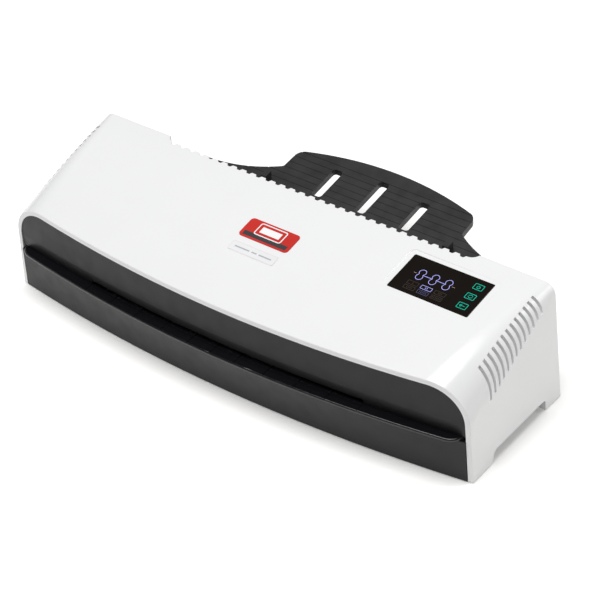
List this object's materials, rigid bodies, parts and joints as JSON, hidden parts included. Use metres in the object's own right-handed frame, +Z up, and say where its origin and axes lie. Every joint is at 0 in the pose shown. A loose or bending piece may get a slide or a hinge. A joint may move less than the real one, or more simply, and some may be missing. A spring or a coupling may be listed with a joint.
{
  "type": "pouch laminator",
  "caption": "Desktop roller laminator with a bowed front entry shelf, top touch display, side vents and a folding rear exit tray.",
  "frame": {"origin": "centre of the machine's footprint, at the level of its feet", "axes": "+X along the rollers towards the display, +Y from the entry to the exit, +Z up"},
  "size_m": [0.5524, 0.3026, 0.1318],
  "materials": {
    "white_plastic": "gloss",
    "grey_plastic": "satin",
    "black_gloss": "gloss",
    "black_plastic": "satin",
    "window_glass": "polished",
    "badge_plate": "gloss",
    "label_film": "matte",
    "foot_rubber": "matte",
    "circuit_board": "satin",
    "zinc_steel": "satin",
    "roller_steel": "polished",
    "silicone": "matte",
    "bearing_plastic": "satin",
    "spring_steel": "bright",
    "gear_acetal": "satin",
    "motor_case": "satin",
    "aluminium": "extruded",
    "mica": "matte",
    "thermal_parts": "satin",
    "guide_plastic": "satin"
  },
  "bodies": {
    "housing": {"top_cover": "white_plastic", "upper_front_panel": "grey_plastic", "lower_front_panel": "grey_plastic", "entry_shelf": "black_gloss", "rear_panel": "grey_plastic", "base_pan": "black_plastic", "rubber_feet": "foot_rubber", "case_screws": "zinc_steel", "display_window": "window_glass", "display_board": "circuit_board", "badge": "badge_plate", "blank_label": "label_film", "left_side_plate": "zinc_steel", "right_side_plate": "zinc_steel", "stay_rods": "zinc_steel", "chassis_screws": "zinc_steel", "lower_bushings": "bearing_plastic", "idler_pins": "zinc_steel", "drive_motor": "motor_case", "motor_screws": "zinc_steel", "upper_heat_shoe": "aluminium", "lower_heat_shoe": "aluminium", "upper_heater": "mica", "lower_heater": "mica", "thermostat": "thermal_parts", "thermal_fuse": "thermal_parts", "film_guides": "guide_plastic", "power_board": "circuit_board", "mains_inlet": "black_plastic", "power_switch": "black_plastic", "tray_pins": "zinc_steel"},
    "exit_tray_body": {"exit_tray": "black_plastic"},
    "rocker": {"power_rocker": "black_plastic"},
    "motor_output": {"motor_pinion": "gear_acetal"},
    "front_idler": {"front_idler_gear": "gear_acetal"},
    "rear_idler": {"rear_idler_gear": "gear_acetal"},
    "entry_lower_roller": {"entry_lower_core": "roller_steel", "entry_lower_sleeve": "silicone", "entry_lower_gear": "gear_acetal"},
    "entry_upper_roller": {"entry_upper_core": "roller_steel", "entry_upper_sleeve": "silicone", "entry_upper_gear": "gear_acetal"},
    "entry_nip_carriage": {"entry_bearing_blocks": "bearing_plastic", "entry_nip_springs": "spring_steel"},
    "middle_lower_roller": {"middle_lower_core": "roller_steel", "middle_lower_sleeve": "silicone", "middle_lower_gear": "gear_acetal"},
    "middle_upper_roller": {"middle_upper_core": "roller_steel", "middle_upper_sleeve": "silicone", "middle_upper_gear": "gear_acetal"},
    "middle_nip_carriage": {"middle_bearing_blocks": "bearing_plastic", "middle_nip_springs": "spring_steel"},
    "exit_lower_roller": {"exit_lower_core": "roller_steel", "exit_lower_sleeve": "silicone", "exit_lower_gear": "gear_acetal"},
    "exit_upper_roller": {"exit_upper_core": "roller_steel", "exit_upper_sleeve": "silicone", "exit_upper_gear": "gear_acetal"},
    "exit_nip_carriage": {"exit_bearing_blocks": "bearing_plastic", "exit_nip_springs": "spring_steel"}
  },
  "joints": [
    {"name": "exit_tray_fold", "type": "hinge", "parent": "housing", "child": "exit_tray_body", "pos_m": [0, 0.03, 0.0415], "axis": [1, 0, 0], "range_deg": [0, 45]},
    {"name": "power_rocker_tilt", "type": "hinge", "parent": "housing", "child": "rocker", "pos_m": [0.198, 0.01514, 0.03589], "axis": [1, 0, 0], "range_deg": [0, 14]},
    {"name": "entry_lower_spin", "type": "hinge", "parent": "housing", "child": "entry_lower_roller", "pos_m": [0, -0.08, 0.0395], "axis": [1, 0, 0], "continuous": true},
    {"name": "entry_nip_lift", "type": "slide", "parent": "housing", "child": "entry_nip_carriage", "axis": [0, 0, 1], "range_m": [0, 0.001], "stiffness_N_per_m": 12000, "springref_m": -0.002, "deforming": ["entry_nip_springs"]},
    {"name": "entry_upper_spin", "type": "hinge", "parent": "entry_nip_carriage", "child": "entry_upper_roller", "pos_m": [0, -0.08, 0.0635], "axis": [1, 0, 0], "continuous": true},
    {"name": "middle_lower_spin", "type": "hinge", "parent": "housing", "child": "middle_lower_roller", "pos_m": [0, -0.044, 0.0395], "axis": [1, 0, 0], "continuous": true},
    {"name": "middle_nip_lift", "type": "slide", "parent": "housing", "child": "middle_nip_carriage", "axis": [0, 0, 1], "range_m": [0, 0.001], "stiffness_N_per_m": 12000, "springref_m": -0.002, "deforming": ["middle_nip_springs"]},
    {"name": "middle_upper_spin", "type": "hinge", "parent": "middle_nip_carriage", "child": "middle_upper_roller", "pos_m": [0, -0.044, 0.0635], "axis": [1, 0, 0], "continuous": true},
    {"name": "exit_lower_spin", "type": "hinge", "parent": "housing", "child": "exit_lower_roller", "pos_m": [0, -0.008, 0.0395], "axis": [1, 0, 0], "continuous": true},
    {"name": "exit_nip_lift", "type": "slide", "parent": "housing", "child": "exit_nip_carriage", "axis": [0, 0, 1], "range_m": [0, 0.001], "stiffness_N_per_m": 12000, "springref_m": -0.002, "deforming": ["exit_nip_springs"]},
    {"name": "exit_upper_spin", "type": "hinge", "parent": "exit_nip_carriage", "child": "exit_upper_roller", "pos_m": [0, -0.008, 0.0635], "axis": [1, 0, 0], "continuous": true},
    {"name": "front_idler_spin", "type": "hinge", "parent": "housing", "child": "front_idler", "pos_m": [0, -0.062, 0.03078], "axis": [1, 0, 0], "continuous": true},
    {"name": "rear_idler_spin", "type": "hinge", "parent": "housing", "child": "rear_idler", "pos_m": [0, -0.026, 0.03078], "axis": [1, 0, 0], "continuous": true},
    {"name": "motor_spin", "type": "hinge", "parent": "housing", "child": "motor_output", "pos_m": [0, -0.1, 0.0395], "axis": [1, 0, 0], "continuous": true}
  ],
  "couplings": [
    {"joint": "entry_lower_spin", "follows": "middle_lower_spin", "ratio": 1},
    {"joint": "exit_lower_spin", "follows": "middle_lower_spin", "ratio": 1},
    {"joint": "entry_upper_spin", "follows": "middle_lower_spin", "ratio": -1},
    {"joint": "middle_upper_spin", "follows": "middle_lower_spin", "ratio": -1},
    {"joint": "exit_upper_spin", "follows": "middle_lower_spin", "ratio": -1},
    {"joint": "front_idler_spin", "follows": "middle_lower_spin", "ratio": -1.5},
    {"joint": "rear_idler_spin", "follows": "middle_lower_spin", "ratio": -1.5},
    {"joint": "motor_spin", "follows": "middle_lower_spin", "ratio": -1.5}
  ]
}
